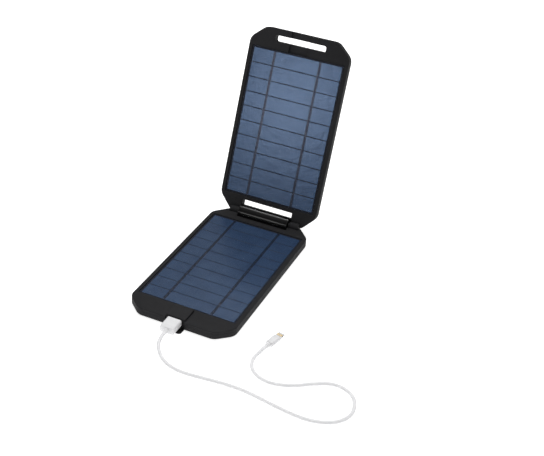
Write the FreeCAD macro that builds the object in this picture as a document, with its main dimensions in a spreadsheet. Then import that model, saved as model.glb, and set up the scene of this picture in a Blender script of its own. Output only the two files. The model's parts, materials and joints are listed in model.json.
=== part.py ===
import FreeCAD, Part
import math
import os
import re
import Sketcher
from FreeCAD import Placement, Rotation, Vector

# Folding solar phone charger: two hinged panel halves and a charging lead.
# Row frame: origin at the centre of the underside of the base half, +X to the right,
# +Y towards the hinge, +Z up.  Each half is drawn in its own frame: x across it, y from
# the hinge line to the far end, z from the outer back up to the cell face.

doc = FreeCAD.newDocument("solar_charger")

DIMS = {
    # outline of a half
    "half_width": 54.0, "half_length": 192.0, "half_height": 8.85, "end_gap": 0.3,
    "hinge_half": 41.0, "hinge_cut": 47.5, "far_half": 38.6, "far_cut": 41.2,
    "corner_radius": 11.0, "back_radius": 1.8, "face_radius": 0.6,
    # shell and bezel
    "wall": 3.4, "floor": 1.8, "split": 5.85, "rib": 1.2, "rib_spread": 26.0, "rib_end": 159.2,
    "seal_out": 2.2, "seal_in": 3.0, "seal_height": 0.5,
    # solar panel
    "window_half": 50.0, "window_start": 16.8, "window_end": 171.2,
    "ledge": 3.0, "ledge_top": 6.6, "panel_gap": 0.3, "board_top": 7.8,
    "cell_half": 47.8, "cell_start": 18.5, "cell_pitch": 15.1, "cell_gap": 0.8,
    "cell_top": 8.05, "ribbon_x": 24.7, "ribbon_width": 2.8, "ribbon_top": 8.15,
    "film_top": 8.4,
    # fasteners and closing magnets
    "boss_radius": 2.6, "hole_radius": 1.05, "shank_radius": 0.9, "shank_top": 7.6,
    "drive_length": 2.4, "drive_width": 0.5, "drive_depth": 0.6, "head_radius": 2.0,
    "head_bottom": 0.3, "head_top": 1.5, "recess_radius": 2.2,
    "near_screw_x": 38.0, "near_screw_y": 9.0, "far_screw_x": 41.0, "far_screw_y": 179.0,
    "magnet_radius": 2.5, "magnet_x": 46.5, "magnet_y": 174.0,
    # hinge
    "axis_height": 9.0, "open_angle": 110.3, "barrel_radius": 8.0, "barrel_half": 27.7,
    "barrel_bore": 6.0, "barrel_end": 3.5, "notch_half": 28.0, "base_notch": 9.6,
    "lid_notch": 13.0, "notch_wall": 3.0, "pin_radius": 1.5, "pin_bore": 0.95,
    "pin_end": 37.8, "washer": 0.3, "washer_radius": 2.7, "arm_start": 28.3,
    "arm_end": 39.0, "arm_radius": 4.2, "arm_bore": 1.55, "arm_clear": 0.3,
    "arm_low": 3.2, "arm_heel": 0.4, "arm_foot": 4.9, "hollow_depth": 1.6,
    "saddle_start": 2.0, "saddle_drop": 0.6,
    # strap slot and the recess that takes the socket housing when shut
    "slot_half": 27.5, "slot_start": 179.3, "slot_end": 185.5, "slot_wall": 2.0,
    "slot_radius": 2.0, "pocket_left": -10.9, "pocket_right": 10.1, "pocket_depth": 2.4,
    # socket housing
    "housing_left": -9.5, "housing_right": 10.3, "housing_start": 172.5,
    "mouth_gap": 0.2, "mouth_reach": 4.0,
    "mouth": 190.2, "housing_top": 10.9, "housing_wall": 1.6, "mouth_wall": 1.6,
    # sockets and plugs
    "usb_x": 1.0, "usb_z": 6.0, "socket_width": 13.2, "socket_height": 5.8,
    "socket_length": 14.0, "sheet_metal": 0.3, "tongue_width": 11.0,
    "tongue_low": 0.35, "tongue_high": 1.65, "contact": 0.1, "contact_width": 1.0,
    "contact_pitch": 2.4, "tongue_root": 1.4, "tongue_end": 2.4, "plug_width": 12.0,
    "plug_height": 4.5, "plug_length": 11.8,
    "insert_high": 0.05, "grip_width": 14.4, "grip_height": 7.2, "grip_length": 15.1,
    "grip_radius": 2.4, "grip_gap": 0.3, "relief_root": 2.7,
    "relief_tip": 1.95, "relief_step": 0.35,
    # electronics
    "card_half": 30.0, "card_start": 173.4, "card_end": 187.6, "card_top": 3.1,
    "coil_x": -22.0, "coil_size": 7.0, "coil_height": 2.6, "chip_x": 17.5,
    "chip_size": 5.0, "chip_height": 1.2, "can_x": 24.0, "can_radius": 2.2,
    "can_height": 2.5, "can_pitch": 6.0, "card_middle": 180.0, "diode_y": 164.0,
    "tap_half": 14.0, "tap_start": 159.6, "tap_end": 167.8,
    "tap_thick": 1.0, "diode_width": 6.0, "diode_length": 3.6, "diode_height": 2.2,
    "wire_radius": 0.6, "wire_gap": 0.3, "wire_x": -12.0, "wire_level": 4.6,
    # dust cover
    "cover_gap": 0.3, "cover_length": 7.8, "cover_thick": 1.3, "cover_radius": 3.0,
    "cover_root": 0.65, "cover_rise": 0.05,
    # lead
    "cord_radius": 1.75, "phone_grip_width": 7.8, "phone_grip_height": 5.0,
    "phone_grip_length": 12.4, "phone_grip_radius": 2.3, "phone_relief": 4.0,
    "blade_width": 6.7, "blade_height": 1.5, "blade_length": 6.7, "pad_count": 8,
    "pad_width": 0.45, "pad_pitch": 0.76, "pad_length": 3.0, "pad_start": 2.0,
}

CELL_ROWS = 10
# Route of the cord, in the row frame, from the plug in the base to the phone plug.
CORD_ROUTE = [
    (-1.0, -113.0, 6.0), (-1.0, -123.5, 6.0), (5.0, -135.0, 3.4), (17.5, -145.0, 2.0),
    (34.0, -148.5, 1.8), (54.0, -146.5, 1.8), (74.0, -144.0, 1.8), (94.5, -144.0, 1.8),
    (114.5, -147.5, 1.8), (134.0, -150.5, 1.8), (154.0, -152.0, 1.8),
    (174.0, -145.5, 1.8), (185.0, -129.0, 1.8), (178.5, -107.0, 1.8),
    (159.0, -99.0, 1.8), (140.5, -108.5, 1.8), (125.5, -120.5, 1.8),
    (104.5, -126.5, 1.8), (88.0, -119.0, 1.8), (81.5, -106.5, 2.1),
    (82.5, -94.5, 2.5), (85.0, -83.5, 2.5),
]
# Routes of the two panel wires, each in the frame of its half.
LID_WIRE = [(-22.0, 17.0, 4.4), (-20.0, 60.0, 4.2), (-14.0, 110.0, 4.6), (-12.0, 162.0, 4.9)]
BASE_WIRE = [(-12.0, 3.6, 4.6), (-12.0, 20.0, 4.4), (-16.0, 70.0, 3.6), (-14.0, 120.0, 3.9),
             (-14.0, 172.8, 3.9)]


def make_sheet():
    """Spreadsheet of the driving dimensions, one alias to a row."""
    sheet = doc.addObject("Spreadsheet::Sheet", "dims")
    for row, (name, value) in enumerate(DIMS.items(), start=1):
        sheet.set("A%d" % row, name)
        sheet.set("B%d" % row, repr(value))
        sheet.setAlias("B%d" % row, name)
    doc.recompute()
    return sheet


SHEET = make_sheet()


def size(name):
    """Value of one driving dimension."""
    return float(getattr(SHEET, name))


def formula(text):
    """Expression text with every dimension name pointed at the sheet."""
    return re.sub(r"[a-z_]+", lambda m: "dims." + m.group() if m.group() in DIMS else m.group(),
                  str(text))


def bind(item, **expressions):
    """Bind properties of a document object to formulas; x, y and z set its place."""
    for key, text in expressions.items():
        path = ".Placement.Base." + key if key in "xyz" else key
        item.setExpression(path, formula(text))


def span(pair):
    """Length of a (low, high) pair of formulas."""
    return "(%s) - (%s)" % (pair[1], pair[0])


def around(centre, width, gap="0"):
    """(low, high) formulas of a width about a centre, with a gap on both sides."""
    return ("%s - %s / 2 - %s" % (centre, width, gap), "%s + %s / 2 + %s" % (centre, width, gap))


ALONG = {"X": Rotation(Vector(0, 1, 0), 90), "Y": Rotation(Vector(1, 0, 0), -90), "Z": Rotation()}
LID_TURN = Rotation(Vector(1, 0, 0), 180 - size("open_angle"))
AXIS = Vector(0, size("half_length") / 2, size("axis_height"))
HALF_PLACE = {
    "base": Placement(Vector(AXIS.x, AXIS.y, 0), Rotation(Vector(0, 0, 1), 180)),
    "lid": Placement(AXIS - LID_TURN.multVec(Vector(0, 0, AXIS.z)), LID_TURN),
    "row": Placement(),
}
NODES = []


class Piece:
    """One sub-part as a PartDesign body, drawn in the frame of its half."""

    def __init__(self, label, frame):
        self.body = doc.addObject("PartDesign::Body", label)
        self.body.Label = label
        self.body.Placement = HALF_PLACE[frame]
        self.count = 0
        NODES.append(self.body)

    def feature(self, kind):
        self.count += 1
        name = "%s_%02d_%s" % (self.body.Name, self.count, kind)
        return self.body.newObject("PartDesign::" + kind, name)

    def box(self, mode, xs, ys, zs):
        """Box between (low, high) formulas; mode is Additive or Subtractive."""
        item = self.feature(mode + "Box")
        bind(item, Length=span(xs), Width=span(ys), Height=span(zs), x=xs[0], y=ys[0], z=zs[0])
        doc.recompute()
        return self

    def rod(self, mode, along, radius, start, length):
        """Cylinder along an axis from a start point of formulas."""
        item = self.feature(mode + "Cylinder")
        item.Placement = Placement(Vector(), ALONG[along])
        bind(item, Radius=radius, Height=length, x=start[0], y=start[1], z=start[2])
        doc.recompute()
        return self

    def outline(self, mode, low, high, insets):
        """Pad or pocket of the half's outline; a second inset leaves a ring."""
        sketch = self.body.newObject("Sketcher::SketchObject",
                                     "%s_%02d_outline" % (self.body.Name, self.count + 1))
        planes = [f for f in self.body.Origin.OriginFeatures if f.Role == "XY_Plane"]
        sketch.AttachmentSupport = (planes[0], "")
        sketch.MapMode = "FlatFace"
        for inset in insets:
            add_outline(sketch, inset)
        bind_offset(sketch, low)
        item = self.feature(mode)
        item.Profile = sketch
        bind(item, Length=span((low, high)))
        item.Reversed = mode == "Pocket"
        sketch.Visibility = False
        doc.recompute()
        return self

    def fillet(self, radius, wanted):
        """Round the edges that the test picks."""
        tip = self.body.Tip
        names = ["Edge%d" % (i + 1) for i, edge in enumerate(tip.Shape.Edges) if wanted(edge)]
        item = self.feature("Fillet")
        item.Base = (tip, names)
        bind(item, Radius=radius)
        doc.recompute()
        return self


def bind_offset(sketch, low):
    """Lift a sketch to the height of a formula."""
    sketch.setExpression(".AttachmentOffset.Base.z", formula(low))


def outline_corners(inset):
    """Right-hand corners of the outline, drawn in by an inset, as formulas."""
    hinge_x = "hinge_half - (%s) * tan(hinge_cut * 0.5deg)" % inset
    side_low = ("(half_width - hinge_half) * tan(hinge_cut * 1deg)"
                " + (%s) * tan(45deg - hinge_cut * 0.5deg)" % inset)
    side_high = ("half_length - (half_width - far_half) * tan(far_cut * 1deg)"
                 " - (%s) * tan(45deg - far_cut * 0.5deg)" % inset)
    far_x = "far_half - (%s) * tan(far_cut * 0.5deg)" % inset
    side_x = "half_width - (%s)" % inset
    return [(hinge_x, "end_gap + (%s)" % inset), (side_x, side_low), (side_x, side_high),
            (far_x, "half_length - (%s)" % inset)]


def add_outline(sketch, inset):
    """Closed eight-sided outline whose right corners are bound and left ones mirrored."""
    rough = [(41, 1), (53, 14), (53, 178), (38, 191)]
    ring = rough + [(-x, y) for x, y in reversed(rough)]
    first = sketch.GeometryCount
    for i, start in enumerate(ring):
        end = ring[(i + 1) % len(ring)]
        sketch.addGeometry(Part.LineSegment(Vector(*start, 0), Vector(*end, 0)), False)
    for i in range(len(ring)):
        follow = first + (i + 1) % len(ring)
        sketch.addConstraint(Sketcher.Constraint("Coincident", first + i, 2, follow, 1))
    for i in range(len(rough)):
        mirror = first + len(ring) - 1 - i
        sketch.addConstraint(Sketcher.Constraint("Symmetric", first + i, 1, mirror, 1, -2))
    for i, corner in enumerate(outline_corners(inset)):
        for kind, text in zip(("DistanceX", "DistanceY"), corner):
            rough_value = rough[i][0] if kind == "DistanceX" else rough[i][1]
            number = sketch.addConstraint(
                Sketcher.Constraint(kind, -1, 1, first + i, 1, float(rough_value)))
            sketch.setExpression("Constraints[%d]" % number, formula(text))


def group(label, frame, items):
    """Separate identical solids that share one node."""
    result = doc.addObject("Part::Compound", label)
    result.Label = label
    result.Links = items
    result.Placement = HALF_PLACE[frame]
    NODES.append(result)
    return result


def plain_box(xs, ys, zs):
    """Part box between (low, high) formulas."""
    item = doc.addObject("Part::Box", "block")
    bind(item, Length=span(xs), Width=span(ys), Height=span(zs), x=xs[0], y=ys[0], z=zs[0])
    return item


def plain_rod(along, radius, start, length):
    """Part cylinder along an axis from a start point of formulas."""
    item = doc.addObject("Part::Cylinder", "rod")
    item.Placement = Placement(Vector(), ALONG[along])
    bind(item, Radius=radius, Height=length, x=start[0], y=start[1], z=start[2])
    return item


def shape_node(label, frame, shape):
    """Node whose shape is made directly, where no feature fits."""
    item = doc.addObject("Part::Feature", label)
    item.Label = label
    item.Shape = shape
    item.Placement = HALF_PLACE[frame]
    NODES.append(item)
    return item


def upright(edge):
    """True for a straight edge along z at one of the outline's rounded corners."""
    box = edge.BoundBox
    return box.XLength < 0.01 and box.YLength < 0.01 and box.YMin > 1.0


def lies_at(height):
    """Test for edges that lie flat at one height."""
    def wanted(edge):
        box = edge.BoundBox
        return abs(box.ZMin - height) < 0.01 and box.ZLength < 0.01
    return wanted


def screw_places():
    """Places of the four case screws in a half."""
    return [(sign + x, y) for x, y in (("near_screw_x", "near_screw_y"),
                                       ("far_screw_x", "far_screw_y")) for sign in ("", "-")]


def notch_depth(half):
    return "base_notch" if half == "base" else "lid_notch"


def cut_hinge(piece, half):
    """Open the middle of the hinge end for the barrel and the ends for the arms."""
    depth = notch_depth(half)
    piece.box("Subtractive", ("-notch_half", "notch_half"), ("-1", depth), ("-1", "20"))
    right = ("notch_half", "arm_end + arm_clear")
    left = ("-arm_end - arm_clear", "-notch_half")
    for low, high in (right, left):
        if half == "base":
            piece.rod("Subtractive", "X", "arm_radius + arm_clear", (low, "0", "axis_height"),
                      span((low, high)))
        else:
            piece.box("Subtractive", (low, high), ("-1", "arm_radius + 1"), ("arm_low", "20"))


def cut_mouth(piece):
    """Notch in the front edge and the hole that the socket looks out of."""
    piece.box("Subtractive", ("housing_left", "housing_right"), ("mouth", "half_length + 1"),
              ("-1", "20"))
    piece.box("Subtractive", around("usb_x", "socket_width", "mouth_gap"),
              ("mouth - mouth_reach", "mouth + 1"), around("usb_z", "socket_height", "mouth_gap"))


def make_shell(half):
    """Outer tray of a half, with walls, ribs, screw bosses and a seal groove."""
    piece = Piece(half + "_shell", half)
    piece.outline("Pad", "0", "split", ["0"])
    piece.fillet("corner_radius", upright)
    piece.fillet("back_radius", lies_at(0.0))
    piece.outline("Pocket", "floor", "split + 1", ["wall"])
    depth = notch_depth(half)
    inside = ("floor - 0.5", "split")
    piece.box("Additive", ("-arm_end - 1", "arm_end + 1"), ("end_gap + 0.5", depth + " + notch_wall"),
              inside)
    if half == "lid":
        piece.box("Additive", ("-slot_half - slot_wall", "slot_half + slot_wall"),
                  ("slot_start - slot_wall", "half_length - wall + 0.5"), inside)
    for x in ("0", "rib_spread", "-rib_spread"):
        piece.box("Additive", around(x, "rib"), (depth + " + notch_wall - 0.5", "rib_end"), inside)
    for x, y in screw_places():
        piece.rod("Additive", "Z", "boss_radius", (x, y, "floor - 0.5"), "split - floor + 0.5")
        piece.rod("Subtractive", "Z", "hole_radius", (x, y, "-1"), "20")
        piece.rod("Subtractive", "Z", "recess_radius", (x, y, "-1"), "1 + head_top")
    piece.outline("Pocket", "split - seal_height", "split + 1", ["seal_out", "seal_in"])
    cut_hinge(piece, half)
    if half == "base":
        cut_mouth(piece)
        piece.rod("Subtractive", "Y", "wire_radius + wire_gap",
                  ("wire_x", "base_notch - 1", "wire_level"), "notch_wall + 2")
    else:
        cut_slot(piece)
    return piece


def cut_slot(piece):
    """Round-cornered strap slot through the far end of the lid."""
    wide = ("-slot_half + slot_radius", "slot_half - slot_radius")
    piece.box("Subtractive", wide, ("slot_start", "slot_end"), ("-1", "20"))
    piece.box("Subtractive", ("-slot_half", "slot_half"),
              ("slot_start + slot_radius", "slot_end - slot_radius"), ("-1", "20"))
    for x in wide:
        for y in ("slot_start + slot_radius", "slot_end - slot_radius"):
            piece.rod("Subtractive", "Z", "slot_radius", (x, y, "-1"), "21")


def make_bezel(half):
    """Face frame of a half, with the window, its ledge and the screw holes."""
    piece = Piece(half + "_bezel", half)
    piece.outline("Pad", "split", "half_height", ["0"])
    piece.fillet("corner_radius", upright)
    piece.fillet("face_radius", lies_at(size("half_height")))
    piece.box("Subtractive", ("-window_half", "window_half"), ("window_start", "window_end"),
              ("ledge_top", "20"))
    piece.box("Subtractive", ("-window_half + ledge", "window_half - ledge"),
              ("window_start + ledge", "window_end - ledge"), ("0", "20"))
    for x, y in screw_places():
        piece.rod("Subtractive", "Z", "shank_radius", (x, y, "0"), "shank_top")
    if half == "base":
        add_housing(piece)
    cut_hinge(piece, half)
    if half == "base":
        cut_mouth(piece)
    else:
        piece.box("Subtractive", ("pocket_left", "pocket_right"), ("window_end - 1", "half_length + 1"),
                  ("half_height - pocket_depth", "20"))
        cut_slot(piece)
    return piece


def add_housing(piece):
    """Raised hollow housing over the socket."""
    piece.box("Additive", ("housing_left", "housing_right"), ("housing_start", "mouth"),
              ("split", "housing_top"))
    piece.fillet("face_radius", lies_at(size("housing_top")))
    piece.box("Subtractive", ("housing_left + housing_wall", "housing_right - housing_wall"),
              ("housing_start + housing_wall", "mouth - mouth_wall"),
              ("0", "housing_top - housing_wall"))


def make_seal(half):
    """Rubber seal in the groove between shell and bezel."""
    piece = Piece(half + "_seal", half)
    piece.outline("Pad", "split - seal_height", "split", ["seal_out", "seal_in"])
    piece.box("Subtractive", ("-arm_end - 1", "arm_end + 1"), ("-1", "arm_radius + 2"), ("0", "20"))
    if half == "base":
        piece.box("Subtractive", around("usb_x", "socket_width", "2 * mouth_gap"),
                  ("mouth - mouth_reach", "half_length"), ("0", "20"))


def make_panel(half):
    """Backing board, cells, ribbons and cover film of one panel."""
    wide = ("-window_half + panel_gap", "window_half - panel_gap")
    tall = ("window_start + panel_gap", "window_end - panel_gap")
    Piece(half + "_panel_board", half).box("Additive", wide, tall, ("ledge_top", "board_top"))
    rows = []
    for row in range(CELL_ROWS):
        low = "cell_start + %d * cell_pitch + cell_gap / 2" % row
        high = "cell_start + %d * cell_pitch - cell_gap / 2" % (row + 1)
        rows.append(plain_box(("-cell_half", "cell_half"), (low, high), ("board_top", "cell_top")))
    group(half + "_cells", half, rows)
    ribbons = []
    for x in ("ribbon_x", "-ribbon_x"):
        ribbons.append(plain_box(around(x, "ribbon_width"),
                                 ("cell_start", "cell_start + %d * cell_pitch" % CELL_ROWS),
                                 ("cell_top", "ribbon_top")))
    group(half + "_ribbons", half, ribbons)
    Piece(half + "_cover_film", half).box("Additive", wide, tall, ("ribbon_top", "film_top"))


def make_fasteners(half):
    """Case screws and closing magnets."""
    screws = []
    for x, y in screw_places():
        head = plain_rod("Z", "head_radius", (x, y, "head_bottom"), "head_top - head_bottom")
        shank = plain_rod("Z", "shank_radius", (x, y, "head_top - 0.1"), "shank_top - head_top + 0.1")
        drive = plain_box(around(x, "drive_length"), around(y, "drive_width"),
                          ("head_bottom - 1", "head_bottom + drive_depth"))
        screw = doc.addObject("Part::Fuse", "screw_blank")
        screw.Base, screw.Tool = head, shank
        slotted = doc.addObject("Part::Cut", "screw")
        slotted.Base, slotted.Tool = screw, drive
        screws.append(slotted)
    group(half + "_screws", half, screws)
    discs = [plain_rod("Z", "magnet_radius", (sign + "magnet_x", "magnet_y", "floor"), "split - floor")
             for sign in ("", "-")]
    group(half + "_magnets", half, discs)


def make_hinge():
    """Barrel on the base, its pins and washers, and the arms of the lid."""
    barrel = Piece("hinge_barrel", "base")
    barrel.rod("Additive", "X", "barrel_radius", ("-barrel_half", "0", "axis_height"), "2 * barrel_half")
    barrel.box("Additive", ("-barrel_half", "barrel_half"), ("saddle_start", "base_notch"),
               ("axis_height - barrel_radius", "half_height - saddle_drop"))
    barrel.rod("Subtractive", "X", "barrel_bore", ("-barrel_half + barrel_end", "0", "axis_height"),
               "2 * (barrel_half - barrel_end)")
    barrel.rod("Subtractive", "X", "pin_radius", ("-barrel_half - 1", "0", "axis_height"),
               "2 * barrel_half + 2")
    barrel.rod("Subtractive", "Y", "wire_radius + wire_gap", ("wire_x", "saddle_start", "wire_level"),
               "base_notch")
    left = Piece("hinge_pin_left", "row")
    left.rod("Additive", "X", "pin_radius", ("-pin_end", "half_length / 2", "axis_height"),
             "pin_end - barrel_half + barrel_end + 1")
    left.rod("Subtractive", "X", "pin_bore", ("-pin_end - 1", "half_length / 2", "axis_height"), "20")
    right = Piece("hinge_pin_right", "row")
    right.rod("Additive", "X", "pin_radius",
              ("barrel_half - barrel_end - 1", "half_length / 2", "axis_height"),
              "pin_end - barrel_half + barrel_end + 1")
    washers = []
    for x in ("barrel_half", "-barrel_half - washer"):
        disc = plain_rod("X", "washer_radius", (x, "0", "axis_height"), "washer")
        hole = plain_rod("X", "pin_radius", (x + " - 1", "0", "axis_height"), "washer + 2")
        ring = doc.addObject("Part::Cut", "ring")
        ring.Base, ring.Tool = disc, hole
        washers.append(ring)
    group("hinge_washers", "base", washers)
    make_arm("lid_hinge_arm_left", "-arm_end", "-arm_end + 2 * washer")
    make_arm("lid_hinge_arm_right", "arm_start", "arm_start - 1")


def make_arm(label, low, bore_start):
    """Arm that turns on a pin and is clamped in the lid; the left one lets the wire in."""
    piece = Piece(label, "lid")
    high = low + " + arm_end - arm_start"
    piece.rod("Additive", "X", "arm_radius", (low, "0", "axis_height"), "arm_end - arm_start")
    piece.box("Additive", (low, high), ("arm_heel", "arm_foot"),
              ("arm_low + arm_clear", "axis_height - arm_heel"))
    piece.rod("Subtractive", "X", "arm_bore", (bore_start, "0", "axis_height"),
              "arm_end - arm_start + arm_heel")
    if label.endswith("left"):
        piece.rod("Subtractive", "X", "pin_bore", (low + " - 1", "0", "axis_height"), "1 + hollow_depth")


def make_socket():
    """Socket in the base: sheet-metal shell, tongue and contacts."""
    inner = around("usb_x", "socket_width", "-sheet_metal")
    inner_levels = around("usb_z", "socket_height", "-sheet_metal")
    shell = Piece("usb_socket_shell", "base")
    shell.box("Additive", around("usb_x", "socket_width"), ("mouth - socket_length", "mouth"),
              around("usb_z", "socket_height"))
    shell.box("Subtractive", inner, ("mouth - socket_length - 1", "mouth + 1"), inner_levels)
    tongue = Piece("usb_socket_tongue", "base")
    tongue.box("Additive", inner, ("mouth - socket_length", "mouth - socket_length + tongue_root"),
               inner_levels)
    tongue.box("Additive", around("usb_x", "tongue_width"),
               ("mouth - socket_length", "mouth - tongue_end"),
               ("usb_z + tongue_low", "usb_z + tongue_high"))
    contact_strips("usb_socket_contacts",
                   ("mouth - socket_length + tongue_root", "mouth - 2 * tongue_end"),
                   ("usb_z + tongue_low - contact", "usb_z + tongue_low"))


def contact_strips(label, ys, zs):
    """Four contacts side by side."""
    strips = []
    for i in range(4):
        x = "usb_x + %.1f * contact_pitch" % (i - 1.5)
        strips.append(plain_box(around(x, "contact_width"), ys, zs))
    group(label, "base", strips)


def make_electronics():
    """Regulator card in the base, tap board in the lid and the wires between."""
    Piece("regulator_card", "base").box("Additive", ("-card_half", "card_half"),
                                        ("card_start", "card_end"), ("floor", "card_top"))
    coil = Piece("card_coil", "base")
    coil.box("Additive", around("coil_x", "coil_size"), around("card_middle", "coil_size"),
             ("card_top", "card_top + coil_height"))
    coil.fillet("face_radius", upright)
    chip = Piece("card_chip", "base")
    chip.box("Additive", around("chip_x", "chip_size"), around("card_middle", "chip_size"),
             ("card_top", "card_top + chip_height"))
    cans = [plain_rod("Z", "can_radius", ("can_x", y, "card_top"), "can_height")
            for y in around("card_middle", "can_pitch")]
    group("card_capacitors", "base", cans)
    Piece("tap_board", "lid").box("Additive", ("-tap_half", "tap_half"), ("tap_start", "tap_end"),
                                  ("ledge_top - tap_thick", "ledge_top"))
    diode = Piece("bypass_diode", "lid")
    diode.box("Additive", around("0", "diode_width"), around("diode_y", "diode_length"),
              ("ledge_top - tap_thick - diode_height", "ledge_top - tap_thick"))


def rounded_path(points):
    """Straight runs joined by tangent arcs, each as large as its two runs allow."""
    edges = []
    radii = []
    turns = []
    last = points[0]
    for before, corner, after in zip(points, points[1:], points[2:]):
        back = (before - corner).normalize()
        ahead = (after - corner).normalize()
        half_turn = (math.pi - back.getAngle(ahead)) / 2
        shorter = min(before.distanceToPoint(corner), corner.distanceToPoint(after))
        reach = 0.45 * shorter
        radius = reach / math.tan(half_turn)
        start = corner + back * reach
        end = corner + ahead * reach
        inward = (back + ahead).normalize()
        middle = corner + inward * (radius / math.cos(half_turn) - radius)
        edges.append(Part.LineSegment(last, start).toShape())
        edges.append(Part.Arc(start, middle, end).toShape())
        radii.append(radius)
        turns.append(math.degrees(2 * half_turn))
        last = end
    edges.append(Part.LineSegment(last, points[-1]).toShape())
    return Part.Wire(edges), radii, turns


def tube(points, radius):
    """Round tube along a rounded path."""
    path, radii, turns = rounded_path(points)
    circle = Part.Wire(Part.makeCircle(radius, points[0], points[1] - points[0]))
    return path.makePipeShell([circle], True, True), path, radii, turns


def make_cord():
    """Cord of the lead, checked against its section and length."""
    points = [Vector(*point) for point in CORD_ROUTE]
    radius = size("cord_radius")
    shape, path, radii, turns = tube(points, radius)
    expected = math.pi * radius ** 2 * path.Length
    print("cord length %.1f mm, tightest radius %.1f mm, sharpest turn %.1f deg"
          % (path.Length, min(radii), max(turns)))
    print("cord radii", ["%.1f" % r for r in radii])
    print("cord volume %.1f of %.1f expected" % (shape.Volume, expected))
    if abs(shape.Volume / expected - 1) > 0.01:
        raise ValueError("the cord's tube doesn't have the volume of its section times its length")
    shape_node("lead_cord", "row", shape)


def plug_block(label, xs, ys, zs, radius):
    """Moulded plug body with its long edges rounded."""
    piece = Piece(label, "base")
    piece.box("Additive", xs, ys, zs)
    piece.fillet(radius, lambda edge: edge.BoundBox.YLength > 1)
    piece.fillet("face_radius", lambda edge: edge.BoundBox.YLength < 0.01)
    return piece


def make_usb_plug():
    """Plug of the lead that sits in the socket."""
    low, high = "mouth - plug_length + grip_gap", "mouth + grip_gap"
    inner = around("usb_x", "plug_width", "-sheet_metal")
    inner_levels = around("usb_z", "plug_height", "-sheet_metal")
    shell = Piece("usb_plug_shell", "base")
    shell.box("Additive", around("usb_x", "plug_width"), (low, high), around("usb_z", "plug_height"))
    shell.box("Subtractive", inner, (low + " - 1", high + " + 1"), inner_levels)
    Piece("usb_plug_insert", "base").box("Additive", inner, (low + " + sheet_metal", high),
                                         (inner_levels[0], "usb_z + insert_high"))
    contact_strips("usb_plug_contacts", (low + " + 3 * sheet_metal", high),
                   ("usb_z + insert_high", "usb_z + insert_high + contact / 2"))
    plug_block("usb_plug_grip", around("usb_x", "grip_width"), (high, high + " + grip_length"),
               around("usb_z", "grip_height"), "grip_radius")


def strain_relief(label, start, end, root, tip):
    """Tapered sleeve between a plug and its cord."""
    cone = doc.addObject("Part::Cone", label)
    cone.Label = label
    bind(cone, Radius1=root, Radius2=tip)
    cone.Height = (end - start).Length
    cone.Placement = Placement(start, Rotation(Vector(0, 0, 1), end - start))
    NODES.append(cone)


def make_phone_plug():
    """Small plug that goes into a phone, lying on the surface at the cord's end."""
    end = Vector(*CORD_ROUTE[-1])
    before = Vector(*CORD_ROUTE[-2])
    ahead = Vector(end.x - before.x, end.y - before.y, 0).normalize()
    turn = math.degrees(math.atan2(-ahead.x, ahead.y))
    root = end + ahead * size("phone_relief")
    strain_relief("phone_strain_relief", root, end, "relief_tip + relief_step", "relief_tip")
    HALF_PLACE["phone_plug"] = Placement(root, Rotation(Vector(0, 0, 1), turn))
    grip = Piece("phone_plug_grip", "phone_plug")
    grip.box("Additive", around("0", "phone_grip_width"), ("0", "phone_grip_length"),
             around("0", "phone_grip_height"))
    grip.fillet("phone_grip_radius", lambda edge: edge.BoundBox.YLength > 1)
    blade = Piece("phone_plug_blade", "phone_plug")
    blade.box("Additive", around("0", "blade_width"),
              ("phone_grip_length", "phone_grip_length + blade_length"), around("0", "blade_height"))
    blade.fillet("blade_height * 0.45", lambda edge: edge.BoundBox.YLength > 1)
    pads = []
    low = "phone_grip_length + pad_start"
    for i in range(int(size("pad_count"))):
        x = "(%d - (pad_count - 1) / 2) * pad_pitch" % i
        pads.append(plain_box(around(x, "pad_width"), (low, low + " + pad_length"),
                              ("blade_height / 2", "blade_height / 2 + contact / 2")))
    group("phone_plug_contacts", "phone_plug", pads)


def make_dust_cover():
    """Rubber flap hinged along the bottom of the socket's notch, folded out flat."""
    sides = ("housing_left + cover_gap", "housing_right - cover_gap")
    root_y = "mouth + cover_root + cover_gap + 0.1"
    flap = Piece("dust_cover", "base")
    flap.box("Additive", sides, (root_y, root_y + " + cover_length"),
             ("cover_rise", "cover_rise + cover_thick"))
    flap.fillet("cover_radius", lambda e: upright(e) and e.BoundBox.YMin > size("mouth") + 4)
    flap.rod("Additive", "X", "cover_root", (sides[0], root_y, "cover_rise + cover_root"), span(sides))


def make_wires():
    """Wires under the two panels: lid panel to hinge, and hinge to regulator card."""
    for frame, route in (("lid", LID_WIRE), ("base", BASE_WIRE)):
        shape = tube([Vector(*point) for point in route], size("wire_radius"))[0]
        shape_node(frame + "_wire", frame, shape)


def check_and_export():
    """Stop on any failed object, then write one STEP file per node."""
    doc.recompute()
    for item in doc.Objects:
        if "Invalid" in item.State or "Error" in item.State:
            raise ValueError("%s is in state %s" % (item.Label, item.State))
    for node in NODES:
        if node.Shape.isNull() or not node.Shape.isValid():
            raise ValueError("%s has no valid shape" % node.Label)
    os.makedirs("parts", exist_ok=True)
    for node in NODES:
        node.Shape.exportStep("parts/%s.step" % node.Label)
        print("%-24s solids %2d volume %9.1f"
              % (node.Label, len(node.Shape.Solids), node.Shape.Volume))


for half_name in ("base", "lid"):
    make_shell(half_name)
    make_bezel(half_name)
    make_seal(half_name)
    make_panel(half_name)
    make_fasteners(half_name)
make_hinge()
make_socket()
make_electronics()
make_wires()
make_usb_plug()
plug_end = Vector(-size("usb_x"), size("half_length") / 2 - size("mouth") - size("grip_gap")
                  - size("grip_length"), size("usb_z"))
strain_relief("usb_strain_relief", plug_end, Vector(*CORD_ROUTE[0]), "relief_root", "relief_tip")
make_cord()
make_phone_plug()
make_dust_cover()
check_and_export()
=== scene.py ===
import json
import math

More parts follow.
